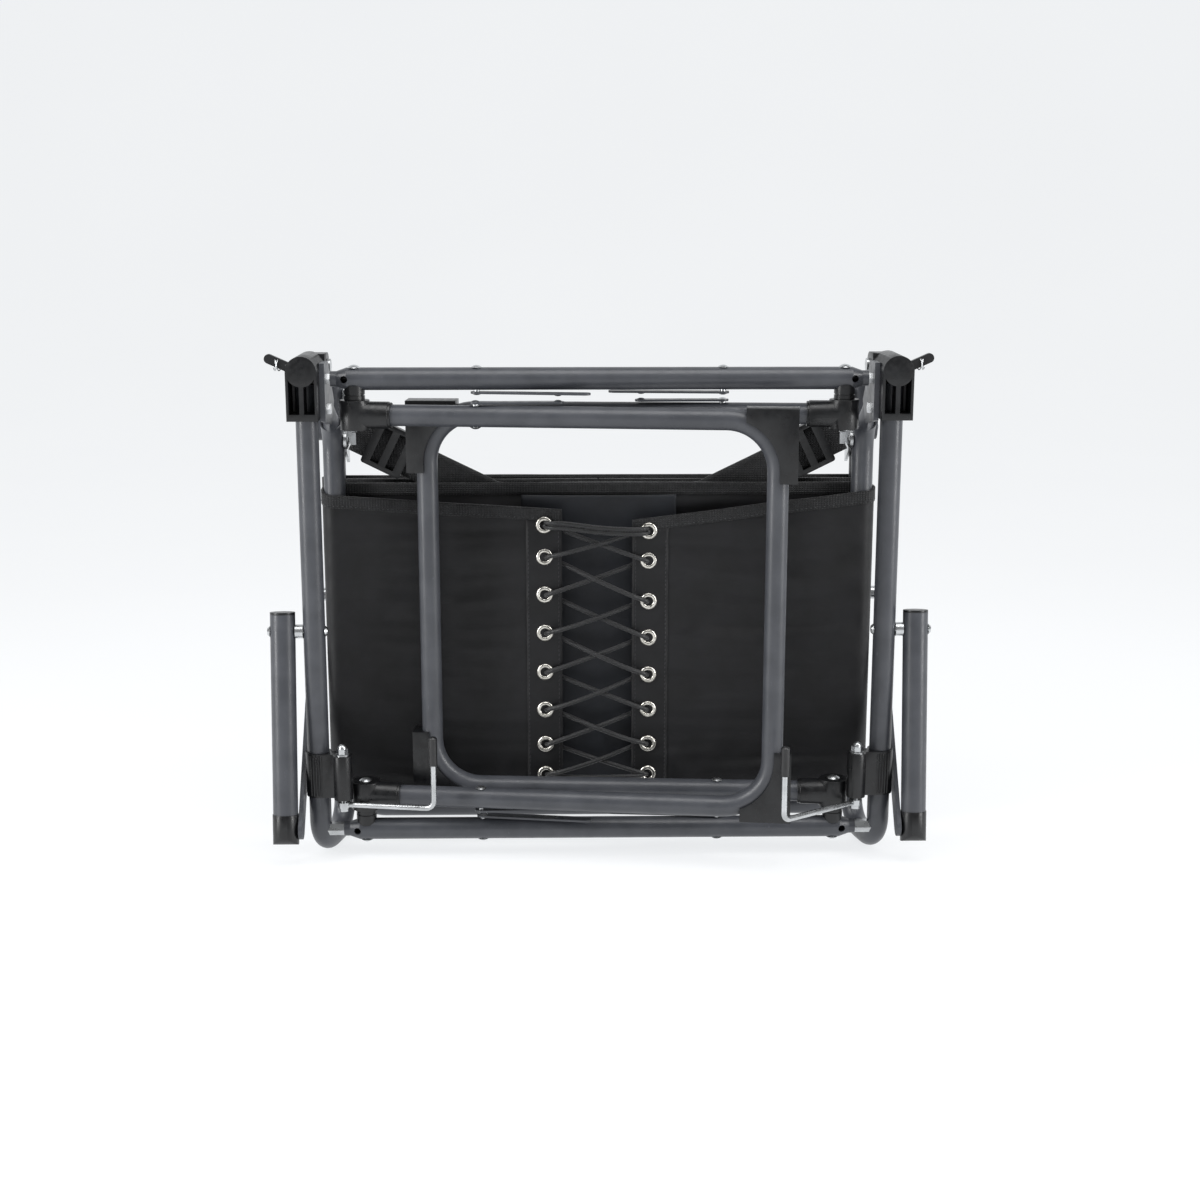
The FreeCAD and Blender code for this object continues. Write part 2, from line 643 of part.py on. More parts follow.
# ---- carry strap --------------------------------------------------------------------------------
def strapOutline(half, y, thick):
    slope = Vec(strapLow[0] - strapEnd[0], 0, strapLow[1] - strapEnd[1]).normalize()
    up = Vec(slope.z, 0, -slope.x)
    end = Vec(strapEnd[0], y, strapEnd[1])
    low = Vec(strapLow[0], y, strapLow[1])
    turn = half * math.tan(math.atan2(-slope.z, -slope.x) / 2)
    right = [end + up * half, low + up * half - slope * turn * -1.0, low - up * half + slope * turn * -1.0,
             end - up * half]
    left = [Vec(-p.x, p.y, p.z) for p in right]
    middleTop = low.z + half
    middleLow = low.z - half
    lean = half * math.tan(math.atan2(strapEnd[1] - strapLow[1], strapEnd[0] - strapLow[0]) / 2)
    points = [right[0], Vec(low.x - lean, y, middleTop), Vec(-low.x + lean, y, middleTop), left[0],
              left[3], Vec(-low.x - lean, y, middleLow), Vec(low.x + lean, y, middleLow), right[3]]
    return Part.Face(Part.makePolygon(points + points[:1])).extrude(Vec(0, thick, 0))


def strapBuckle():
    slope = Vec(strapLow[0] - strapEnd[0], 0, strapLow[1] - strapEnd[1])
    angle = math.degrees(math.atan2(slope.z, slope.x))
    centre = Vec(strapEnd[0], 0, strapEnd[1]) + slope * buckleAt
    halfW = strapWidth / 2 + 5.0
    halfL = buckleLength / 2
    frame = block(-halfL, halfL, -5.5, 5.5, -halfW, halfW)
    frame = frame.makeFillet(3.0, [e for e in frame.Edges if abs(e.tangentAt(0).y) > 0.9])
    frame = frame.cut(block(-halfL - 1, halfL + 1, -strapThick / 2 - 0.3, strapThick / 2 + 0.3,
                            -strapWidth / 2 - 0.4, strapWidth / 2 + 0.4))
    for x0 in (-13.0, 4.0):
        frame = frame.cut(block(x0, x0 + 9.0, -6, 6, -strapWidth / 2, strapWidth / 2))
    frame.rotate(Vec(0, 0, 0), Vec(0, 1, 0), -angle)
    frame.translate(Vec(centre.x, strapY + strapThick / 2, centre.z))
    return frame


def strapLug():
    # small plate on the inner side of the rail, carrying the end of the strap on a rivet
    x0 = railHalf - tubeR - 3.0
    plate = slotBar(railDepth, strapEnd[1] - 4, strapY + 1, strapEnd[1], 9.0, x0, x0 + 3.0)
    rivet = roundHead(Vec(x0, railDepth, strapEnd[1] - 4), Vec(-1, 0, 0), 5.0, 2.0)
    pad = block(x0 - 6.0, x0, strapY - 3.0, strapY - 0.2, strapEnd[1] - 12, strapEnd[1] + 6)
    return fuse(plate, rivet, pad)


nodes["carry_strap"] = strapOutline(strapWidth / 2, strapY, strapThick)
nodes["strap_buckles"] = Part.makeCompound([strapBuckle(), mirrored(strapBuckle())])
nodes["strap_lugs"] = Part.makeCompound([strapLug(), mirrored(strapLug())])


# ---- rear half -------------------------------------------------------------------------------------
def rearFrame():
    low = tubeR
    points = [Vec(-rearHalf, rearY, rearTop), Vec(-rearHalf, rearY, low),
              Vec(rearHalf, rearY, low), Vec(rearHalf, rearY, rearTop)]
    tube = sweptTube(points, [rearBend, rearBend], tubeDia, rearTubeWall)
    hole = cylX(-rearHalf - 30, rearHalf + 30, rearY, rearAnchorZ, rivetDia / 2)
    tube = tube.cut(hole)
    for z in (rearTop - 14.0, rearTop - 44.0):
        tube = tube.cut(cylX(-rearHalf - 30, rearHalf + 30, rearY, z, boltDia / 2))
    return tube


def rearArm():
    # hinge arm: from the pin down to the outer side of the rear tube
    x0 = bracketInner + bracketLugThick + armGap
    x1 = x0 + armThick
    z = rearTop - 14.0
    upper = slotBar(hingeY, hingeZ, rearY, z, 13.0, x0, x1)
    lower = slotBar(rearY, z, rearY, z - 30.0, 13.0, x0, x1)
    arm = fuse(upper, lower)
    tube = cylZ(rearHalf, rearY, 200, rearTop, tubeR)
    arm = arm.cut(tube)
    arm = arm.cut(cylX(x0 - 1, x1 + 1, hingeY, hingeZ, hingePinDia / 2 + pivotFit))
    for bz in (z, z - 30.0):
        arm = arm.cut(cylX(x0 - 1, x1 + 1, rearY, bz, boltDia / 2))
    return arm


def rearArmBolts():
    x1 = bracketInner + bracketLugThick + armGap + armThick
    solids = []
    for z in (rearTop - 14.0, rearTop - 44.0):
        shank = cylX(rearHalf - tubeR - 3.2, x1, rearY, z, boltDia / 2)
        head = roundHead(Vec(x1, rearY, z), Vec(1, 0, 0), 6.0, 3.0)
        nut = hexPrismX(rearHalf - tubeR - 7.2, rearHalf - tubeR - 3.2, rearY, z, 10.0)
        solids.append(fuse(shank, head, nut))
    return solids


def rearGusset():
    # zinc plate behind the bolts, on the inner side of the rear tube
    x1 = rearHalf - tubeR - 0.2
    x0 = x1 - 3.0
    top = rearTop - 4.0
    low = top - 78.0
    outline = [(rearY - 12, top), (rearY + 12, top), (rearY + 12, low), (rearY - 12, low + 14)]
    plate = plateYZ(outline, x0, x1)
    for z in (rearTop - 14.0, rearTop - 44.0):
        plate = plate.cut(cylX(x0 - 1, x1 + 1, rearY, z, boltDia / 2))
    return plate


nodes["rear_frame_tube"] = rearFrame()
pinCut = cylX(-rearHalf - 30, rearHalf + 30, rearY, rearAnchorZ, 8.0)
pinCut = pinCut.cut(block(-rearHalf + 30, rearHalf - 30, 0, 300, 0, 500))
nodes["rear_sling"] = sleeveRing(rearHalf, rearY, rearSlingBottom, slingTop).cut(pinCut)
for side in ("left", "right"):
    nodes["rear_hinge_arm_" + side] = onSide(rearArm(), side)
nodes["rear_arm_bolts"] = Part.makeCompound(rearArmBolts() + [mirrored(b) for b in rearArmBolts()])
nodes["rear_gussets"] = Part.makeCompound([rearGusset(), mirrored(rearGusset())])


# ---- folding side struts -----------------------------------------------------------------------------
strutLean = math.degrees(math.atan2(-knuckleY, strutPivotZ - knuckleZ))
strutLength = math.hypot(knuckleY, strutPivotZ - knuckleZ)


def placeStrut(shape):
    # drawn upright under the pivot, then leaned forward at the bottom
    turned = shape.copy()
    turned.rotate(Vec(0, 0, strutPivotZ), Vec(1, 0, 0), -strutLean)
    return turned


def strutTube():
    low = strutPivotZ - strutLength + 16.0
    tube = cylZ(strutX, 0, low, strutTop, strutR).cut(cylZ(strutX, 0, low - 1, strutTop + 1,
                                                           strutR - tubeWall))
    tube = tube.cut(cylX(strutX - 30, strutX + 30, 0, strutPivotZ, rivetDia / 2 + pivotFit))
    return placeStrut(tube)


def strutMouldings():
    cap = cylZ(strutX, 0, strutTop, strutTop + 2.4, strutR).fuse(
        cylZ(strutX, 0, strutTop - 8.0, strutTop, strutR - tubeWall))
    low = strutPivotZ - strutLength
    sleeve = cylZ(strutX, 0, low, low + 16.0, strutR + 0.6)
    eye = cylX(strutX - strutR - 0.4, strutX + strutR, 0, low, 15.0)
    trim = cylZ(strutX, 0, low - 20.0, low + 20.0, strutR + 0.6)
    knuckle = fuse(sleeve, eye.common(trim), cylZ(strutX, 0, low + 16.0, low + 26.0, strutR - tubeWall))
    knuckle = knuckle.cut(block(0, linkBarX + linkBarThick + 0.4, -40, 40, low - 40, low + 40))
    return placeStrut(cap.removeSplitter()), placeStrut(knuckle)


def strutLink():
    # flat bar from the knuckle up to the rear frame
    x1 = linkBarX + linkBarThick
    bar = slotBar(knuckleY, knuckleZ, rearY, rearAnchorZ, linkBarWidth / 2, linkBarX, x1)
    return bar.cut(cylX(linkBarX - 1, x1 + 1, rearY, rearAnchorZ, rivetDia / 2 + pivotFit))


def taperHead(x, z, y, way):
    # flat-topped rivet head standing off a face across X
    return Part.makeCone(5.5, 3.6, 2.4, Vec(x, y, z), Vec(way, 0, 0))


def strutPin(y, z, inner, seat, outer):
    # rivet through a frame tube, a spacer and a strut bar
    shank = cylX(inner - 1.0, outer + 1.2, y, z, rivetDia / 2)
    spacer = cylX(seat[0], seat[1], y, z, 7.0)
    return fuse(shank, spacer, taperHead(outer + 0.2, z, y, 1), taperHead(inner, z, y, -1))


def frontStrutPin():
    seat = (frameHalf + tubeR, strutX - strutR - 0.3)
    return strutPin(0, strutPivotZ, frameHalf - tubeR, seat, strutX + strutR)


def rearStrutPin():
    seat = (rearHalf + tubeR, linkBarX - 0.3)
    return strutPin(rearY, rearAnchorZ, rearHalf - tubeR, seat, linkBarX + linkBarThick)


for side in ("left", "right"):
    tube = nodes["side_tube_" + side]
    hole = onSide(cylX(frameHalf - 20, frameHalf + 20, 0, strutPivotZ, rivetDia / 2), side)
    nodes["side_tube_" + side] = tube.cut(hole)
    nodes["strut_tube_" + side] = onSide(strutTube(), side)
    nodes["strut_mouldings_" + side] = onSide(Part.makeCompound(list(strutMouldings())), side)
    nodes["strut_link_" + side] = onSide(strutLink(), side)
nodes["front_strut_pins"] = Part.makeCompound([frontStrutPin(), mirrored(frontStrutPin())])
nodes["rear_strut_pins"] = Part.makeCompound([rearStrutPin(), mirrored(rearStrutPin())])


# ---- lock pins ------------------------------------------------------------------------------------------
def lockPin():
    x0 = bracketOuter - lockPinDeep + 1.0
    x1 = bracketOuter + 4.0
    pin = cylX(x0, x1, 0, lockPinZ, lockPinDia / 2)
    tab = block(0, 25.0, -2.2, 2.2, -4.6, 4.6)
    tab = tab.makeFillet(4.4, [e for e in tab.Edges if abs(e.tangentAt(0).y) > 0.9
                               and e.CenterOfMass.x > 20])
    tab.rotate(Vec(0, 0, 0), Vec(0, 1, 0), -24.0)
    tab.translate(Vec(x1 - 3.0, 0, lockPinZ))
    return fuse(pin, tab.cut(block(0, bracketOuter + 0.6, -10, 10, 450, 560)))


for side in ("left", "right"):
    nodes["lock_pin_" + side] = onSide(lockPin(), side)


# ---- place on the floor, origin under the middle, and write ------------------------------------------------
whole = Part.makeCompound(list(nodes.values())).optimalBoundingBox(False, False)
frameShift = Vec(-(whole.XMin + whole.XMax) / 2, -(whole.YMin + whole.YMax) / 2, -whole.ZMin)

os.makedirs("parts", exist_ok=True)
for name, shape in nodes.items():
    shape.translate(frameShift)
    shape.exportStep("parts/" + name + ".step")
print("nodes", len(nodes), "size", whole.XLength, whole.YLength, whole.ZLength, "shift", frameShift)
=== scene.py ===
import bpy
import bmesh
import json
import math
from mathutils import Matrix, Vector, noise

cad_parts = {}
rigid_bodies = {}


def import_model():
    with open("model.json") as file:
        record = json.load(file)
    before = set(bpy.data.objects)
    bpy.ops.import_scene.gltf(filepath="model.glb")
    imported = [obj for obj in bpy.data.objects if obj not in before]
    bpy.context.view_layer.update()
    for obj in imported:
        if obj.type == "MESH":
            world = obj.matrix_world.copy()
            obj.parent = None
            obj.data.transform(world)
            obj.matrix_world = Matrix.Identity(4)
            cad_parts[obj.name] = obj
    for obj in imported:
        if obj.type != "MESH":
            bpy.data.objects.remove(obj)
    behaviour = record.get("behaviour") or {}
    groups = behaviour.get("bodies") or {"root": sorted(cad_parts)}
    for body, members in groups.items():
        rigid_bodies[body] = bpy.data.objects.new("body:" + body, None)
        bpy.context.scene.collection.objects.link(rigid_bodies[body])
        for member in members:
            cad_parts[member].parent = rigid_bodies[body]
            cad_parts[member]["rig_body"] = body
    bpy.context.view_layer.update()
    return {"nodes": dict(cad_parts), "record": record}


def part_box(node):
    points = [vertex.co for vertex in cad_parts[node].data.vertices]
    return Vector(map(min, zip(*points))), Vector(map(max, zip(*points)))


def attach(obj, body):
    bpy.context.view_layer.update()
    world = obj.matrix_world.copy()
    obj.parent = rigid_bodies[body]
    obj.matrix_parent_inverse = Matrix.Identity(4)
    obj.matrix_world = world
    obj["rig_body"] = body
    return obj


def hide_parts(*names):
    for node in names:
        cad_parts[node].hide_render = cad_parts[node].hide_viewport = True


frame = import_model()
print("frame loaded, nodes:", len(frame["nodes"]))


# ---- where things are, read from the frame ----
def middle(node):
    low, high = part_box(node)
    return (low + high) / 2


frontY = middle("cross_tube_top").y            # plane of the front side tubes
flapLow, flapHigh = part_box("sling_flaps")
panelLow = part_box("sling_panel")[0]
rearLow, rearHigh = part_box("rear_sling")


# ---- materials ----
def linearColour(hexText):
    parts = [int(hexText[i:i + 2], 16) / 255 for i in (1, 3, 5)]
    return tuple(c / 12.92 if c <= 0.04045 else ((c + 0.055) / 1.055) ** 2.4 for c in parts) + (1.0,)


def addNode(tree, kind, settings=None, inputs=None):
    # inputs: a number or colour sets the socket, an output socket is linked to it
    node = tree.nodes.new(kind)
    for key, value in (settings or {}).items():
        setattr(node, key, value)
    for key, value in (inputs or {}).items():
        if isinstance(value, bpy.types.NodeSocket):
            tree.links.new(value, node.inputs[key])
        else:
            node.inputs[key].default_value = value
    return node


def startMaterial(name, shaderValues):
    material = bpy.data.materials.new(name)
    material.use_nodes = True
    tree = material.node_tree
    shader = tree.nodes["Principled BSDF"]
    for key, value in shaderValues.items():
        shader.inputs[key].default_value = value
    place = tree.nodes.new("ShaderNodeTexCoord").outputs["Object"]
    return material, tree, shader, place


def softNoise(tree, place, sizeMm, detail):
    return addNode(tree, "ShaderNodeTexNoise", None,
                   {"Vector": place, "Scale": 1000 / sizeMm, "Detail": detail}).outputs["Fac"]


patchEdges = (0.35, 0.65)      # noise level where the dark tone ends and where the light one begins


def mottle(tree, place, sizeMm, dark, light):
    # two tones mixed in soft patches of the given size
    ramp = addNode(tree, "ShaderNodeValToRGB", None, {"Fac": softNoise(tree, place, sizeMm, 4.0)})
    for stop, position, tone in zip(ramp.color_ramp.elements, patchEdges, (dark, light)):
        stop.position = position
        stop.color = linearColour(tone)
    return ramp.outputs["Color"]


def spread(tree, place, sizeMm, low, high):
    # a number that wanders between two values
    return addNode(tree, "ShaderNodeMapRange", None,
                   {"Value": softNoise(tree, place, sizeMm, 3.0), "From Min": 0.3, "From Max": 0.7,
                    "To Min": low, "To Max": high}).outputs["Result"]


def finePits(tree, place, sizeMm):
    return softNoise(tree, place, sizeMm, 2.0)


def bandHeight(tree, place, axis, spacingMm):
    # a wave band repeats every 0.314 m at scale 1
    return addNode(tree, "ShaderNodeTexWave", {"wave_type": "BANDS", "bands_direction": axis},
                   {"Vector": place, "Scale": 314.16 / spacingMm, "Distortion": 0.3}).outputs["Fac"]


def addBump(tree, shader, height, distance, strength):
    bump = addNode(tree, "ShaderNodeBump", None,
                   {"Height": height, "Distance": distance, "Strength": strength})
    tree.links.new(bump.outputs["Normal"], shader.inputs["Normal"])


def powderCoatedSteel():
    # polyester powder coat on steel tube: satin charcoal with a faint orange peel and small pale scuffs
    material, tree, shader, place = startMaterial(
        "powderCoatedSteel", {"IOR": 1.5, "Specular IOR Level": 0.55})
    base = mottle(tree, place, 26, "#3b3d42", "#45474c")
    scuffMap = addNode(tree, "ShaderNodeMapping", None, {"Vector": place, "Scale": (1.0, 1.0, 0.16)})
    scuff = addNode(tree, "ShaderNodeTexNoise", None,
                    {"Vector": scuffMap.outputs["Vector"], "Scale": 420.0, "Detail": 5.0, "Roughness": 0.7})
    mask = addNode(tree, "ShaderNodeMapRange", None,
                   {"Value": scuff.outputs["Fac"], "From Min": 0.66, "From Max": 0.74, "To Max": 0.45})
    mixed = addNode(tree, "ShaderNodeMix", {"data_type": "RGBA"},
                    {"Factor": mask.outputs["Result"], 6: base, 7: linearColour("#7c8087")})
    tree.links.new(mixed.outputs[2], shader.inputs["Base Color"])
    tree.links.new(spread(tree, place, 9, 0.30, 0.42), shader.inputs["Roughness"])
    addBump(tree, shader, finePits(tree, place, 1.3), 0.0002, 0.35)
    return material


def mouldedNylon():
    # injection moulded nylon: near black, satin, with a fine spark-eroded grain
    material, tree, shader, place = startMaterial("mouldedNylon", {"IOR": 1.52})
    tree.links.new(mottle(tree, place, 12, "#0b0b0d", "#131416"), shader.inputs["Base Color"])
    tree.links.new(spread(tree, place, 5, 0.26, 0.42), shader.inputs["Roughness"])
    addBump(tree, shader, finePits(tree, place, 0.8), 0.00015, 0.3)
    return material


def zincPlatedSteel():
    # bright zinc over drawn wire and pressed steel: pale, slightly cloudy, soft highlights
    material, tree, shader, place = startMaterial("zincPlatedSteel", {"Metallic": 1.0})
    tree.links.new(mottle(tree, place, 22, "#b4b6b7", "#d2d4d6"), shader.inputs["Base Color"])
    tree.links.new(spread(tree, place, 9, 0.22, 0.36), shader.inputs["Roughness"])
    addBump(tree, shader, finePits(tree, place, 0.9), 0.00005, 0.12)
    return material


def nickelPlatedBrass():
    # pressed eyelets: warm bright plating with a light brushed cast
    material, tree, shader, place = startMaterial("nickelPlatedBrass", {"Metallic": 1.0})
    tree.links.new(mottle(tree, place, 4, "#b9b6ae", "#e4e1da"), shader.inputs["Base Color"])
    tree.links.new(spread(tree, place, 1.8, 0.16, 0.3), shader.inputs["Roughness"])
    addBump(tree, shader, finePits(tree, place, 0.5), 0.00006, 0.2)
    return material


def wovenPolyester(name, dark, light, sheen):
    # coated 600 denier weave, threads 0.6 mm apart, drawn at 1.1 mm so that they show
    material, tree, shader, place = startMaterial(
        name, {"IOR": 1.5, "Specular IOR Level": 0.35, "Sheen Weight": sheen, "Sheen Roughness": 0.45})
    tree.links.new(mottle(tree, place, 34, dark, light), shader.inputs["Base Color"])
    tree.links.new(spread(tree, place, 18, 0.40, 0.56), shader.inputs["Roughness"])
    across = bandHeight(tree, place, "X", 1.1)
    along = bandHeight(tree, place, "Z", 1.1)
    weave = addNode(tree, "ShaderNodeMath", {"operation": "MAXIMUM"}, {0: across, 1: along})
    fuzz = addNode(tree, "ShaderNodeMath", {"operation": "MULTIPLY_ADD"},
                   {0: finePits(tree, place, 2.5), 1: 0.6, 2: weave.outputs[0]})
    addBump(tree, shader, fuzz.outputs[0], 0.00025, 0.5)
    return material


def ribbedWebbing():
    # polypropylene webbing: cross ribs 1.4 mm apart, matt with a slight shine on each rib
    material, tree, shader, place = startMaterial(
        "ribbedWebbing", {"IOR": 1.49, "Specular IOR Level": 0.4, "Sheen Weight": 0.08})
    tree.links.new(mottle(tree, place, 7, "#09090b", "#141517"), shader.inputs["Base Color"])
    tree.links.new(spread(tree, place, 6, 0.5, 0.7), shader.inputs["Roughness"])
    ribs = addNode(tree, "ShaderNodeMath", {"operation": "MULTIPLY"},
                   {0: bandHeight(tree, place, "X", 2.8), 1: bandHeight(tree, place, "Z", 1.9)})
    addBump(tree, shader, ribs.outputs[0], 0.0007, 0.8)
    return material


def braidedElastic():
    # shock cord: braided nylon jacket, diagonal strands about 1.2 mm wide
    material, tree, shader, place = startMaterial("braidedElastic", {"IOR": 1.53, "Sheen Weight": 0.2})
    turned = addNode(tree, "ShaderNodeMapping", None, {"Vector": place, "Rotation": (0.0, 0.79, 0.0)})
    strands = addNode(tree, "ShaderNodeMath", {"operation": "MULTIPLY"},
                      {0: bandHeight(tree, turned.outputs["Vector"], "X", 2.0),
                       1: bandHeight(tree, turned.outputs["Vector"], "Z", 2.0)})
    tree.links.new(mottle(tree, place, 3, "#08080a", "#151619"), shader.inputs["Base Color"])
    tree.links.new(spread(tree, place, 3, 0.38, 0.55), shader.inputs["Roughness"])
    addBump(tree, shader, strands.outputs[0], 0.0004, 0.6)
    return material


def dippedVinyl():
    # vinyl dipped over wire: smooth, soft gloss
    material, tree, shader, place = startMaterial("dippedVinyl", {"IOR": 1.53, "Coat Weight": 0.2})
    tree.links.new(mottle(tree, place, 6, "#0f0f10", "#1a1a1c"), shader.inputs["Base Color"])
    tree.links.new(spread(tree, place, 4, 0.3, 0.45), shader.inputs["Roughness"])
    addBump(tree, shader, finePits(tree, place, 1.5), 0.0001, 0.2)
    return material


finish = {
    "coated_tube": powderCoatedSteel(),
    "black_plastic": mouldedNylon(),
    "zinc_steel": zincPlatedSteel(),
    "nickel": nickelPlatedBrass(),
    "black_cloth": wovenPolyester("wovenPolyester", "#08080a", "#101013", 0.05),
    "black_webbing": ribbedWebbing(),
    "elastic_cord": braidedElastic(),
    "black_rubber": dippedVinyl(),
}
innerCloth = wovenPolyester("wovenPolyesterInner", "#111318", "#181b21", 0.05)
stitchThread = wovenPolyester("spunThread", "#1c1c1f", "#2c2c30", 0.3)

for part in frame["record"]["subparts"]:
    for slot in frame["nodes"][part["node"]].material_slots:
        slot.material = finish[part["material_slot"]]


# ---- small helpers for new pieces ----
def newPiece(name, bm, body, material):
    mesh = bpy.data.meshes.new(name)
    bm.to_mesh(mesh)
    bm.free()
    piece = bpy.data.objects.new(name, mesh)
    bpy.context.scene.collection.objects.link(piece)
    for face in mesh.polygons:
        face.use_smooth = True
    mesh.materials.append(material)
    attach(piece, body)
    return piece


def thicken(piece, thickness):
    wall = piece.modifiers.new("wall", "SOLIDIFY")
    wall.thickness = thickness
    wall.offset = 0.0
    return piece


def tubeAlong(name, strands, radius, body, material, closed=False):
    # round cord or wire through the given points, made into a mesh
    curve = bpy.data.curves.new(name + "Line", "CURVE")
    curve.dimensions = "3D"
    curve.bevel_depth = radius
    curve.bevel_resolution = 3
    curve.resolution_u = 6
    curve.use_fill_caps = True
    for points in strands:
        line = curve.splines.new("NURBS")
        line.points.add(len(points) - 1)
        for i, p in enumerate(points):
            line.points[i].co = (p[0], p[1], p[2], 1.0)
        line.use_cyclic_u = closed
        line.order_u = 3
        line.use_endpoint_u = not closed
    holder = bpy.data.objects.new(name + "Line", curve)
    bpy.context.scene.collection.objects.link(holder)
    bpy.context.view_layer.update()
    mesh = bpy.data.meshes.new_from_object(holder.evaluated_get(bpy.context.evaluated_depsgraph_get()))
    bpy.data.objects.remove(holder)
    bm = bmesh.new()
    bm.from_mesh(mesh)
    bmesh.ops.remove_doubles(bm, verts=bm.verts, dist=1e-6)
    bmesh.ops.recalc_face_normals(bm, faces=bm.faces)
    return newPiece(name, bm, body, material)


# ---- moulded parts get eased edges, as a mould leaves them ----
easing = {"width": 0.0009, "segments": 2, "sharp": 0.6, "flat": 0.02}      # metres and radians


def easedCopy(node, body, slotName):
    bm = bmesh.new()
    bm.from_mesh(frame["nodes"][node].data)
    bmesh.ops.remove_doubles(bm, verts=bm.verts, dist=2e-6)
    bmesh.ops.dissolve_limit(bm, angle_limit=easing["flat"], verts=bm.verts, edges=bm.edges)
    sharp = [e for e in bm.edges if len(e.link_faces) == 2 and e.calc_face_angle(0) > easing["sharp"]]
    bmesh.ops.bevel(bm, geom=sharp, offset=easing["width"], offset_type="OFFSET", segments=easing["segments"],
                    profile=0.5, affect="EDGES", clamp_overlap=True, material=-1)
    bmesh.ops.triangulate(bm, faces=[f for f in bm.faces if len(f.verts) > 4])
    piece = newPiece(node + "_eased", bm, body, finish[slotName])
    piece.data.set_sharp_from_angle(angle=easing["sharp"])
    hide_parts(node)
    return piece


moulded = ("hinge_bracket", "foot_shoes", "leg_fittings", "hook_clamp", "strut_mouldings", "strap_buckles")
for part in frame["record"]["subparts"]:
    node = part["node"]
    if node.startswith(moulded):
        easedCopy(node, frame["nodes"][node]["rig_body"], part["material_slot"])
print("moulded parts eased")


# ---- cloth slings ----
sling = {
    "thickness": 0.0013,
    "cells": (330, 84),
    "bindingHeight": 0.013,
    "bindingThick": 0.0011,
    "bindingCells": (360, 5),
    "leftEdge": -0.038,          # inner edges of the two laced flaps
    "rightEdge": 0.034,
    "leftTop": (0.365, 0.350),   # flap height at the rail and at the inner edge
    "rightTop": (0.368, 0.339),
    "stripWidth": 0.037,         # doubled cloth that carries the eyelets
    "stripThick": 0.0012,
    "stripInset": 0.0003,
    "stripDrop": 0.0125,         # its top below the flap's
    "stripLift": 0.001,
    "stripCells": (12, 60),
    "wrinkle": 0.0050,
    "frontSeed": 1.3,
    "rearSeed": 5.2,
}
creasing = {
    "wander": 0.014,       # how far a crease strays up or down
    "long": (2.2, 42),     # long creases: noise steps per metre across and up
    "short": (9, 95),
    "shortShare": 0.35,
}


def bandRoute(low, high, leftEdge=None, rightEdge=None):
    # the way round both rails, from the left flap's inner edge to the right one's, in metres
    radius = (high.y - low.y) / 2 - 0.001
    centreY = (high.y + low.y) / 2
    railX = high.x - radius - 0.001
    lengths = [leftEdge + railX, math.pi * radius, 2 * railX, math.pi * radius, railX - rightEdge]

    def at(s):
        # x, y, outward normal, and the share along the piece of route it is on
        if s <= lengths[0]:
            return leftEdge - s, centreY - radius, 0.0, -1.0, 0, s / lengths[0]
        s -= lengths[0]
        if s <= lengths[1]:
            a = -math.pi / 2 - s / radius
            return (-railX + radius * math.cos(a), centreY + radius * math.sin(a),
                    math.cos(a), math.sin(a), 1, s / lengths[1])
        s -= lengths[1]
        if s <= lengths[2]:
            return -railX + s, centreY + radius, 0.0, 1.0, 2, s / lengths[2]
        s -= lengths[2]
        if s <= lengths[3]:
            a = math.pi / 2 - s / radius
            return (railX + radius * math.cos(a), centreY + radius * math.sin(a),
                    math.cos(a), math.sin(a), 3, s / lengths[3])
        s -= lengths[3]
        t = min(1.0, s / lengths[4])
        return railX - s, centreY - radius, 0.0, -1.0, 4, t
    return at, sum(lengths), lengths


def easy(t):
    return t * t * (3 - 2 * t)


def frontTop(segment, share):
    high = flapHigh.z
    if segment == 0:
        return sling["leftTop"][1] + (sling["leftTop"][0] - sling["leftTop"][1]) * share
    if segment == 1:
        return sling["leftTop"][0] + (high - sling["leftTop"][0]) * easy(share)
    if segment == 3:
        return high + (sling["rightTop"][0] - high) * easy(share)
    if segment == 4:
        return sling["rightTop"][0] + (sling["rightTop"][1] - sling["rightTop"][0]) * share
    return high


def creaseHeight(x, z, segment, share, seed):
    # long creases across the cloth, dying out where it is stretched round the rails
    if segment in (1, 3):
        return 0.0
    hold = math.sin(math.pi * min(1.0, max(0.0, share)))
    if segment != 2:
        hold = hold ** 0.5 if 0 < share < 1 else 0.0
    height = z + noise.noise(Vector((x * 6, seed, z * 5))) * creasing["wander"]
    across, up = creasing["long"]
    folds = noise.noise(Vector((x * across, seed + 3.1, height * up)))
    across, up = creasing["short"]
    fine = noise.noise(Vector((x * across, seed + 7.7, height * up)))
    return hold * (folds + fine * creasing["shortShare"])


def clothBand(name, at, spanS, top, bottom, cells, body, material, thickness, seed,
              offset=0.0, height=None):
    # a sheet that follows the route from spanS[0] to spanS[1]; height gives a strip down from the top edge
    bm = bmesh.new()
    bmesh.ops.create_grid(bm, x_segments=cells[0], y_segments=cells[1], size=0.5)
    for v in bm.verts:
        s = spanS[0] + (v.co.x + 0.5) * (spanS[1] - spanS[0])
        t = v.co.y + 0.5
        x, y, nx, ny, segment, share = at(s)
        zTop = top(segment, share)
        zLow = bottom if height is None else zTop - height
        z = zLow + t * (zTop - zLow)
        lift = offset + creaseHeight(x, z, segment, share, seed) * sling["wrinkle"]
        v.co = Vector((x + nx * lift, y + ny * lift, z))
    piece = newPiece(name, bm, body, material)
    return thicken(piece, thickness)


def bindingBand(name, route, length, top, body, seed):
    # webbing folded over an edge of the cloth
    return clothBand(name, route, (0, length), top, 0, sling["bindingCells"], body,
                     finish["black_webbing"],
                     sling["thickness"] + 2 * sling["bindingThick"], seed, height=sling["bindingHeight"])


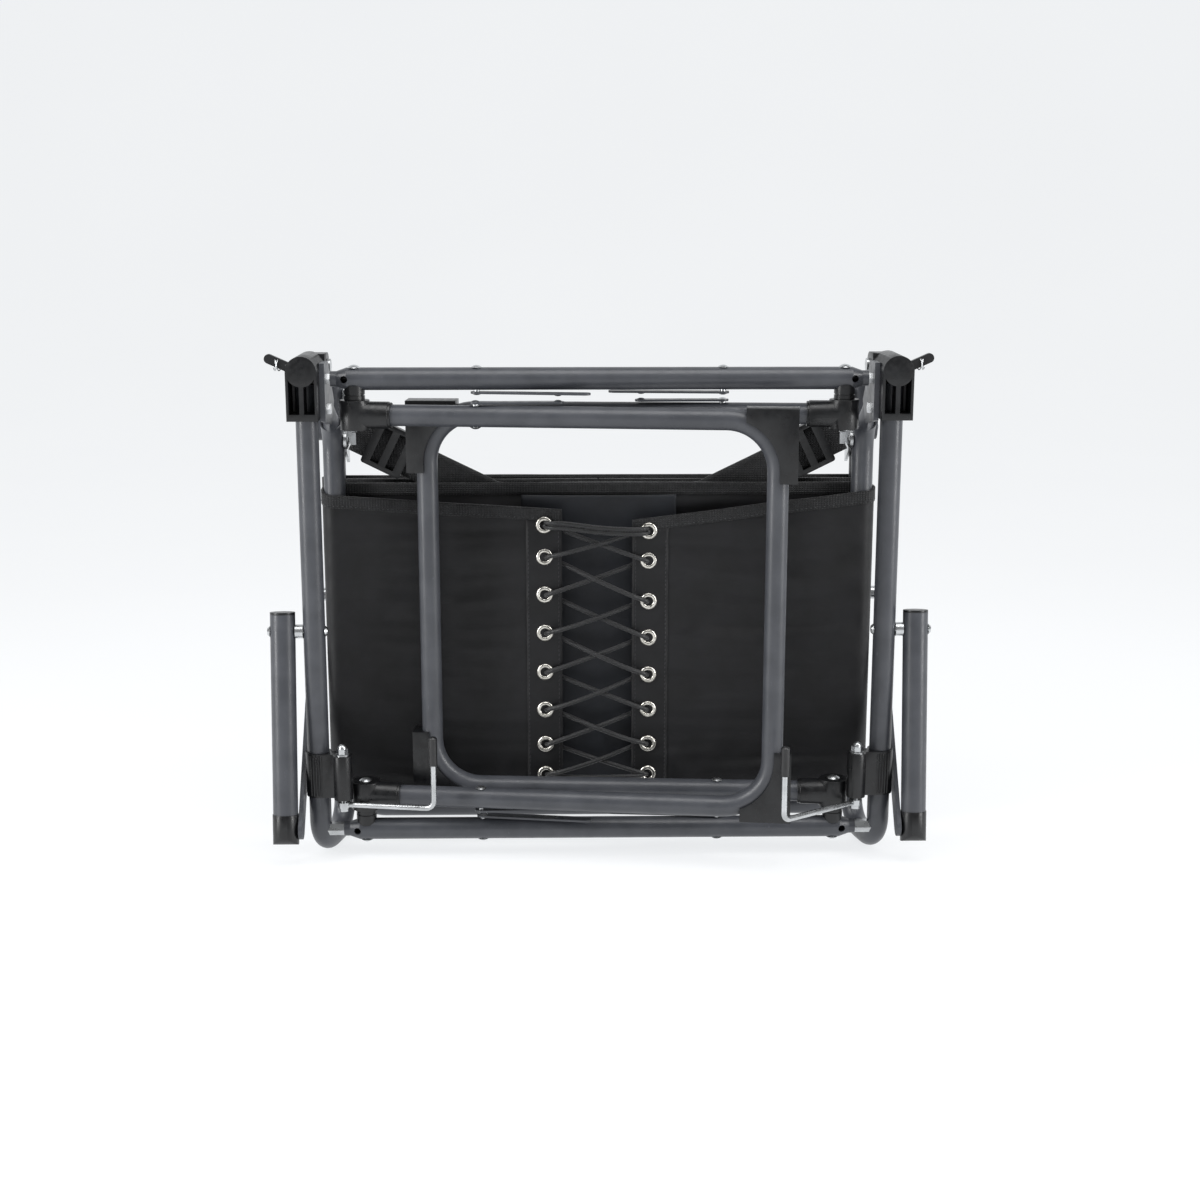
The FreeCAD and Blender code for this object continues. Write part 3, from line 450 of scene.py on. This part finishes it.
def stripTop(segment, share):
    return frontTop(segment, share) - sling["stripDrop"]


frontRoute, frontLength, frontParts = bandRoute(flapLow, flapHigh, sling["leftEdge"], sling["rightEdge"])
slingCloth = clothBand("slingCloth", frontRoute, (0, frontLength), frontTop, flapLow.z, sling["cells"],
                       "frame", finish["black_cloth"], sling["thickness"],
                       sling["frontSeed"])
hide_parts("sling_flaps", "sling_panel")
slingBinding = bindingBand("slingBinding", frontRoute, frontLength, frontTop, "frame", sling["frontSeed"])
for label, span in (("Left", (sling["stripInset"], sling["stripWidth"])),
                    ("Right", (frontLength - sling["stripWidth"], frontLength - sling["stripInset"]))):
    clothBand("eyeletStrip" + label, frontRoute, span, stripTop,
                            flapLow.z + sling["stripLift"], sling["stripCells"],
                            "frame", finish["black_cloth"], sling["stripThick"],
                            sling["frontSeed"], offset=sling["stripThick"])

# the smooth dark panel that shows between the flaps, just in front of the back run of the sling
panel = {
    "width": 0.16,         # wide enough to run in behind both flaps
    "lift": 0.001,
    "topGap": 0.007,
    "gap": 0.0035,         # ahead of the sling's back run
    "bulge": 0.004,
    "wrinkle": 0.0012,
    "thickness": 0.0012,
    "seed": 9.0,
}
panelHeight = sling["rightTop"][0] - panelLow.z - panel["topGap"]
bm = bmesh.new()
bmesh.ops.create_grid(bm, x_segments=60, y_segments=60, size=0.5)
for v in bm.verts:
    x = v.co.x * panel["width"]
    z = panelLow.z + panel["lift"] + (v.co.y + 0.5) * panelHeight
    bulge = math.cos(math.pi * v.co.x) * panel["bulge"]
    lift = creaseHeight(x, z, 2, v.co.x + 0.5, panel["seed"]) * panel["wrinkle"]
    v.co = Vector((x, panelLow.y - panel["gap"] - bulge + lift, z))
innerPanel = thicken(newPiece("innerPanel", bm, "frame", innerCloth), panel["thickness"])


def rearTop(segment, share):
    return rearHigh.z


def rearHem(segment, share):
    return rearLow.z + sling["bindingHeight"]


rearRoute, rearLength = bandRoute(rearLow, rearHigh, -0.001, 0.001)[:2]
rearCloth = clothBand("rearCloth", rearRoute, (0, rearLength), rearTop, rearLow.z, sling["cells"],
                      "rear_leaf", finish["black_cloth"], sling["thickness"],
                      sling["rearSeed"])
rearTopBinding = bindingBand("rearTopBinding", rearRoute, rearLength, rearTop, "rear_leaf", sling["rearSeed"])
rearLowBinding = bindingBand("rearLowBinding", rearRoute, rearLength, rearHem, "rear_leaf", sling["rearSeed"])
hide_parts("rear_sling")

# stitching: beside the eyelet strips, along the flaps' inner edges and under each top binding
flapFace = flapLow.y + 0.0002
stitching = {
    "pitch": 0.0046,
    "rowSize": (0.0008, 0.0006, 0.0030),
    "slant": 0.12,
    "stripInset": 0.0025,
    "edgeInset": 0.0035,
    "topGap": 0.016,
    "lowGap": 0.003,
    "proud": 0.0010,
    "seamSize": (0.0028, 0.0007, 0.0008),
    "seamDrop": 0.0105,
    "seamProud": 0.0019,
}


def addStitch(bm, size, matrix):
    # a six-sided spindle lying on the cloth
    made = bmesh.ops.create_uvsphere(bm, u_segments=6, v_segments=4, radius=0.5)
    bmesh.ops.scale(bm, verts=made["verts"], vec=size)
    bmesh.ops.transform(bm, verts=made["verts"], matrix=matrix)


def stitchRow(name, places):
    # short slanted stitches up the front of a flap
    bm = bmesh.new()
    along = Vector((stitching["slant"], 0, 1)).normalized()
    out = Vector((0, -1, 0))
    turn = Matrix((along.cross(out), out, along)).transposed().to_4x4()
    for p in places:
        addStitch(bm, stitching["rowSize"], Matrix.Translation(p) @ turn)
    return newPiece(name, bm, "frame", stitchThread)


rows = {
    "stitchStripLeft": (sling["leftEdge"] - sling["stripWidth"] + stitching["stripInset"],
                        sling["leftTop"][1]),
    "stitchStripRight": (sling["rightEdge"] + sling["stripWidth"] - stitching["stripInset"],
                         sling["rightTop"][1]),
    "stitchEdgeLeft": (sling["leftEdge"] - stitching["edgeInset"], sling["leftTop"][1]),
    "stitchEdgeRight": (sling["rightEdge"] + stitching["edgeInset"], sling["rightTop"][1]),
}
for name, (x, zTop) in rows.items():
    count = int((zTop - stitching["topGap"] - flapLow.z) / stitching["pitch"])
    if x < 0:
        segment, share = 0, (sling["leftEdge"] - x) / frontParts[0]
    else:
        segment, share = 4, 1 - (x - sling["rightEdge"]) / frontParts[4]
    places = []
    for i in range(count):
        z = flapLow.z + stitching["lowGap"] + i * stitching["pitch"]
        lift = creaseHeight(x, z, segment, share, sling["frontSeed"]) * sling["wrinkle"]
        places.append(Vector((x, flapFace - stitching["proud"] - lift, z)))
    stitchRow(name, places)


def seamAlongTop(name, at, total, top, body, seed):
    bm = bmesh.new()
    for i in range(int(total / stitching["pitch"])):
        s = (i + 0.5) * stitching["pitch"]
        x, y, nx, ny, segment, share = at(s)
        z = top(segment, share) - stitching["seamDrop"]
        lift = creaseHeight(x, z, segment, share, seed) * sling["wrinkle"] + stitching["seamProud"]
        turn = Matrix.Rotation(math.atan2(ny, nx) - math.pi / 2, 4, "Z")
        addStitch(bm, stitching["seamSize"],
                  Matrix.Translation(Vector((x + nx * lift, y + ny * lift, z))) @ turn)
    return newPiece(name, bm, body, stitchThread)


seamAlongTop("bindingSeamFront", frontRoute, frontLength, frontTop, "frame", sling["frontSeed"])
seamAlongTop("bindingSeamRear", rearRoute, rearLength, rearTop, "rear_leaf", sling["rearSeed"])
print("slings made, cloth length", round(frontLength, 4), round(rearLength, 4))


# ---- eyelets and lace ----
lacing = {
    # x, then the height of each eyelet in mm
    "left": (-0.056, [334.3, 301.2, 261.6, 221.0, 179.3, 138.7, 101.3, 68.2]),
    "right": (0.051, [327.9, 296.9, 254.2, 215.7, 176.1, 138.7, 101.3, 68.2]),
    "cord": 0.0023,
    "doubled": (-0.0022, 0.0026),     # the two cords of the top run, below and above its middle
}
eyelet = {
    # radius and depth round the rolled rim, from inside the hole to its outer edge
    "rim": [(0.0046, 0.0024), (0.0044, 0.0004), (0.0050, -0.0010), (0.0062, -0.0015),
            (0.0076, -0.0012), (0.0087, -0.0002), (0.0088, 0.0006)],
    "steps": 28,
    "wall": 0.0004,
}
eyeletY = flapFace - 0.0014


def eyeletRow(name, x, heights):
    # the rim's profile spun round each hole's axis
    bm = bmesh.new()
    for z in heights:
        ring = [bm.verts.new((radius, y, 0)) for radius, y in eyelet["rim"]]
        edges = [bm.edges.new((ring[i], ring[i + 1])) for i in range(len(ring) - 1)]
        bmesh.ops.spin(bm, geom=ring + edges, cent=(0, 0, 0), axis=(0, 1, 0),
                       angle=2 * math.pi, steps=eyelet["steps"], use_merge=True)
        fresh = [v for v in bm.verts if not v.tag]
        bmesh.ops.translate(bm, verts=fresh, vec=(x, eyeletY, z / 1000))
        for v in fresh:
            v.tag = True
    bmesh.ops.remove_doubles(bm, verts=bm.verts, dist=1e-6)
    bmesh.ops.recalc_face_normals(bm, faces=bm.faces)
    return thicken(newPiece(name, bm, "frame", finish["nickel"]), eyelet["wall"])


eyeletLeft = eyeletRow("eyeletRowLeft", *lacing["left"])
eyeletRow("eyeletRowRight", *lacing["right"])
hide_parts("eyelets")


def strand(startLeft, frontGap):
    # from each eyelet behind its own flap, out between the flaps, over the other flap, into the next eyelet
    points = []
    side = -1 if startLeft else 1
    last = len(lacing["left"][1]) - 1
    for i in range(last + 1):
        x, heights = lacing["left"] if side < 0 else lacing["right"]
        otherX, otherHeights = lacing["right"] if side < 0 else lacing["left"]
        edge = sling["leftEdge"] if side < 0 else sling["rightEdge"]
        otherEdge = sling["rightEdge"] if side < 0 else sling["leftEdge"]
        z = heights[i] / 1000
        points.append((x - side * 0.0006, eyeletY - 0.0016, z - 0.0006))
        points.append((x - side * 0.0020, eyeletY + 0.0055, z - 0.0008))
        if i == last:
            points.append((x - side * 0.016, flapFace + 0.0062, z - 0.003))
            break
        zNext = otherHeights[i + 1] / 1000
        run = otherX - x
        for px, py in ((edge + side * 0.004, flapFace + 0.0060),
                       (edge - side * 0.006, flapFace + 0.0030),
                       (0.0, flapFace - 0.0030 - frontGap),
                       (otherEdge, flapFace - 0.0060 - frontGap),
                       (otherX + side * 0.008, eyeletY - 0.0042)):
            t = (px - x) / run
            points.append((px, py, z + (zNext - z) * t))
        side = -side
    return points


laceA = strand(True, 0.0)
laceB = strand(False, 0.0048)


def straightRun(zLeft, zRight, midX, flatOut, midOut, rise):
    # out of the left eyelet, flat across the front and into the right one; rise lifts the five middle points
    xLeft, xRight = lacing["left"][0], lacing["right"][0]
    return [(xLeft + 0.001, eyeletY + 0.003, zLeft),
            (xLeft + 0.003, eyeletY - 0.004, zLeft + rise[0]),
            (xLeft + 0.020, eyeletY - flatOut, zLeft + rise[1]),
            (midX, eyeletY - midOut, (zLeft + zRight) / 2 + rise[2]),
            (xRight - 0.020, eyeletY - flatOut, zRight + rise[3]),
            (xRight - 0.003, eyeletY - 0.004, zRight + rise[4]),
            (xRight - 0.001, eyeletY + 0.003, zRight)]


lowZ = lacing["left"][1][-1] / 1000
bottomRun = straightRun(lowZ, lowZ, 0.0, 0.0062, 0.0066, (-0.0006, -0.0012, -0.0018, -0.0012, -0.0006))
topRun = []
for shift in lacing["doubled"]:
    zLeft = lacing["left"][1][0] / 1000 + shift
    zRight = lacing["right"][1][0] / 1000 + shift
    midX = (lacing["left"][0] + lacing["right"][0]) / 2
    topRun.append(straightRun(zLeft, zRight, midX, 0.0066, 0.0075, (0, 0.0005, -0.0012, 0, 0)))
lace = tubeAlong("lacing", [laceA, laceB, bottomRun] + topRun, lacing["cord"], "frame",
                 finish["elastic_cord"])
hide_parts("lace")
print("lacing made")


# ---- carry strap ----
strap = {
    "width": 0.038,
    "thickness": 0.0022,
    "sag": 0.006,
    "bend": (0.109, 0.354),     # x and z where the level run turns up, and at its end
    "end": (0.250, 0.424),
    "turn": 0.044,              # length of the rounded turn
    "cells": (150, 8),
}
strapLow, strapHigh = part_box("carry_strap")
strapY = (strapLow.y + strapHigh.y) / 2
bend, end = Vector(strap["bend"]), Vector(strap["end"])
slope = math.atan2(end.y - bend.y, end.x - bend.x)
bm = bmesh.new()
bmesh.ops.create_grid(bm, x_segments=strap["cells"][0], y_segments=strap["cells"][1], size=0.5)
for v in bm.verts:
    u = v.co.x * 2
    w = v.co.y * strap["width"]
    side = -1 if u < 0 else 1
    # level run, a rounded turn, then the sloping run to the lug
    reach = abs(u) * (bend.x + (end - bend).length)
    mix = easy(min(1.0, max(0.0, (reach - bend.x + strap["turn"] / 2) / strap["turn"])))
    angle = slope * mix
    past = max(0.0, reach - bend.x)
    x = min(reach, bend.x) + math.cos(slope) * past
    z = bend.y + math.sin(slope) * past
    z -= strap["sag"] * (1 - min(1.0, reach / bend.x) ** 2)
    x -= math.sin(angle) * w
    z += math.cos(angle) * w
    ripple = math.sin(reach * 60) * 0.0006 + (w / strap["width"]) * 0.002 * math.sin(reach * 25)
    v.co = Vector((side * x, strapY + ripple, z))
carryStrap = thicken(newPiece("carryStrap", bm, "frame", finish["black_webbing"]),
                     strap["thickness"])
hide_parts("carry_strap")
print("strap made")


# ---- split rings through the lock pins' tabs ----
rings = {"radius": 0.0056, "wire": 0.0006, "inset": 0.010, "apart": 0.004, "drop": 0.0105, "points": 16}
for label in ("left", "right"):
    low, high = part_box("lock_pin_" + label)
    side = -1 if label == "left" else 1
    outer = high.x if side > 0 else -low.x
    for k, tilt in ((0, 0.35), (1, -0.25)):
        centre = Vector((side * (outer - rings["inset"] - k * rings["apart"]), (low.y + high.y) / 2,
                         high.z - rings["drop"]))
        circle = []
        for i in range(rings["points"]):
            a = 2 * math.pi * i / rings["points"]
            circle.append(centre + Vector((side * math.cos(a) * rings["radius"] * math.sin(tilt),
                                           math.cos(a) * rings["radius"] * math.cos(tilt) * 0.8,
                                           math.sin(a) * rings["radius"])))
        tubeAlong("splitRing_%s_%d" % (label, k), [circle], rings["wire"], "lock_pin_" + label,
                  finish["zinc_steel"], closed=True)
print("rings made")


# ---- floor, lights and camera ----
studio = {"halfWidth": 14.0, "frontY": -8.0, "flatTo": 3.0, "sweep": 3.0, "height": 12.0, "steps": 16,
          "glow": 0.85}
profile = [(studio["frontY"], 0), (studio["flatTo"], 0)]
for i in range(1, studio["steps"] + 1):
    turn = math.pi / 2 * i / studio["steps"]
    profile.append((studio["flatTo"] + studio["sweep"] * math.sin(turn),
                    studio["sweep"] * (1 - math.cos(turn))))
profile.append((studio["flatTo"] + studio["sweep"], studio["height"]))
bm = bmesh.new()
edge = [bm.verts.new((-studio["halfWidth"], y, z)) for y, z in profile]
lines = [bm.edges.new((edge[i], edge[i + 1])) for i in range(len(edge) - 1)]
made = bmesh.ops.extrude_edge_only(bm, edges=lines)
bmesh.ops.translate(bm, verts=[v for v in made["geom"] if isinstance(v, bmesh.types.BMVert)],
                    vec=(2 * studio["halfWidth"], 0, 0))
bmesh.ops.recalc_face_normals(bm, faces=bm.faces)
floorMesh = bpy.data.meshes.new("floor")
bm.to_mesh(floorMesh)
bm.free()
for face in floorMesh.polygons:
    face.use_smooth = True
floor = bpy.data.objects.new("floor", floorMesh)
bpy.context.scene.collection.objects.link(floor)
floorMaterial, tree, shader, place = startMaterial(
    "paleFloor", {"Roughness": 0.95, "Specular IOR Level": 0.0,
                  "Emission Color": linearColour("#f4f6f8"), "Emission Strength": studio["glow"]})
tree.links.new(mottle(tree, place, 900, "#7e7e7e", "#828282"), shader.inputs["Base Color"])
floorMesh.materials.append(floorMaterial)

world = bpy.data.worlds.new("softRoom")
world.use_nodes = True
world.node_tree.nodes["Background"].inputs["Color"].default_value = linearColour("#f6f7f8")
world.node_tree.nodes["Background"].inputs["Strength"].default_value = 0.24
bpy.context.scene.world = world
bpy.context.scene.view_settings.view_transform = "Standard"

aim = Vector((0, frontY, 0.268))
lights = {
    "stripLeft": ((-1.5, -0.7, 0.9), (0.4, 1.8), 27.0),
    "stripRight": ((1.5, -0.7, 0.9), (0.4, 1.8), 23.0),
    "topSoft": ((0.1, -0.6, 2.2), (1.6, 1.2), 22.0),
}
for name, (where, size, power) in lights.items():
    data = bpy.data.lights.new(name, "AREA")
    data.shape = "RECTANGLE"
    data.size, data.size_y = size
    data.energy = power
    lamp = bpy.data.objects.new(name, data)
    lamp.location = where
    lamp.rotation_euler = (aim - Vector(where)).to_track_quat("-Z", "Y").to_euler()
    bpy.context.scene.collection.objects.link(lamp)

view = {"azimuth": -1.0, "elevation": 12.5, "distance": 1.8, "lens": 54.0}
a, e = math.radians(view["azimuth"]), math.radians(view["elevation"])
back = Vector((math.sin(a) * math.cos(e), -math.cos(a) * math.cos(e), math.sin(e)))
cameraData = bpy.data.cameras.new("camera")
cameraData.lens = view["lens"]
cameraData.sensor_width = 36.0
camera = bpy.data.objects.new("camera", cameraData)
camera.location = aim + back * view["distance"]
camera.rotation_euler = (-back).to_track_quat("-Z", "Y").to_euler()
bpy.context.scene.collection.objects.link(camera)
bpy.context.scene.camera = camera

print("scene ready")
